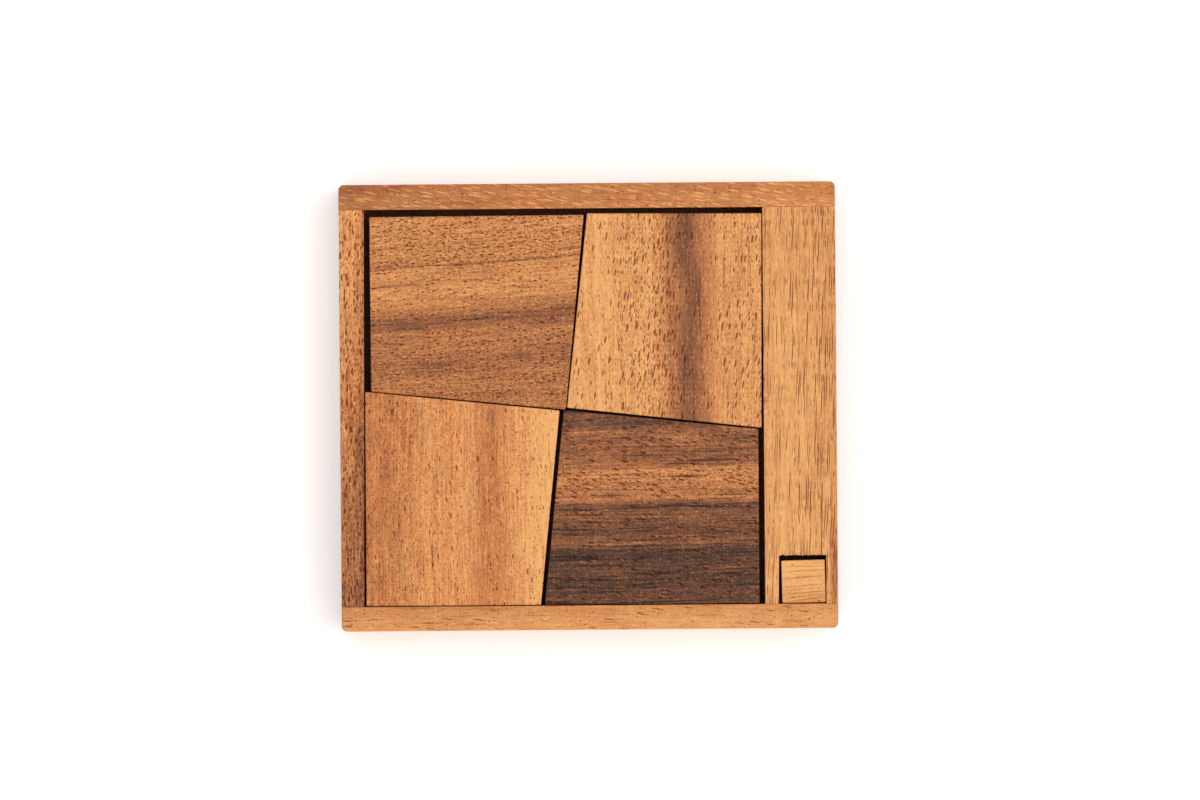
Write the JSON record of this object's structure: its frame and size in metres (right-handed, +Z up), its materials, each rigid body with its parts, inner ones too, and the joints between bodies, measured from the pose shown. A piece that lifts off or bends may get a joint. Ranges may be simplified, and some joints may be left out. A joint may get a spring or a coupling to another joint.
{
  "type": "wooden tray packing puzzle",
  "caption": "Flat square-cornered wooden tray with raised rails, filled by slanted quadrilateral wooden tiles, and a small loose square set in a notch of its wide rail.",
  "frame": {"origin": "centre of the tray's outline on its underside, where it rests on a table", "axes": "+X across to the wide notched rail, +Y to the back rail, +Z up out of the tray"},
  "size_m": [0.1242, 0.1116, 0.016],
  "materials": {
    "floor_board_wood": "dark brown stained board",
    "back_rail_wood": "orange-brown oiled wood with short pale flecks",
    "front_rail_wood": "light orange-tan oiled wood",
    "left_rail_wood": "orange-tan oiled wood turning brown towards the front",
    "right_rail_wood": "honey-tan oiled wood with fine dark pore lines",
    "back_left_tile_wood": "brown and tan banded oiled wood",
    "back_right_tile_wood": "honey-orange oiled wood with a dark purple-brown band",
    "front_left_tile_wood": "reddish to bright orange streaked oiled wood",
    "front_right_tile_wood": "dark walnut-brown banded oiled wood",
    "small_square_wood": "light honey softwood-like piece with fine growth lines"
  },
  "bodies": {
    "tray": {"floor_board": "floor_board_wood", "back_rail": "back_rail_wood", "front_rail": "front_rail_wood", "left_rail": "left_rail_wood", "right_rail": "right_rail_wood"},
    "back_left": {"back_left_tile": "back_left_tile_wood"},
    "back_right": {"back_right_tile": "back_right_tile_wood"},
    "front_left": {"front_left_tile": "front_left_tile_wood"},
    "front_right": {"front_right_tile": "front_right_tile_wood"},
    "middle_square": {"small_square": "small_square_wood"}
  },
  "joints": [
    {"name": "back_left_lift", "type": "slide", "parent": "tray", "child": "back_left", "axis": [0, 0, 1], "range_m": [0, 0.04]},
    {"name": "back_right_lift", "type": "slide", "parent": "tray", "child": "back_right", "axis": [0, 0, 1], "range_m": [0, 0.04]},
    {"name": "front_left_lift", "type": "slide", "parent": "tray", "child": "front_left", "axis": [0, 0, 1], "range_m": [0, 0.04]},
    {"name": "front_right_lift", "type": "slide", "parent": "tray", "child": "front_right", "axis": [0, 0, 1], "range_m": [0, 0.04]},
    {"name": "small_square_lift", "type": "slide", "parent": "tray", "child": "middle_square", "axis": [0, 0, 1], "range_m": [0, 0.04]}
  ]
}
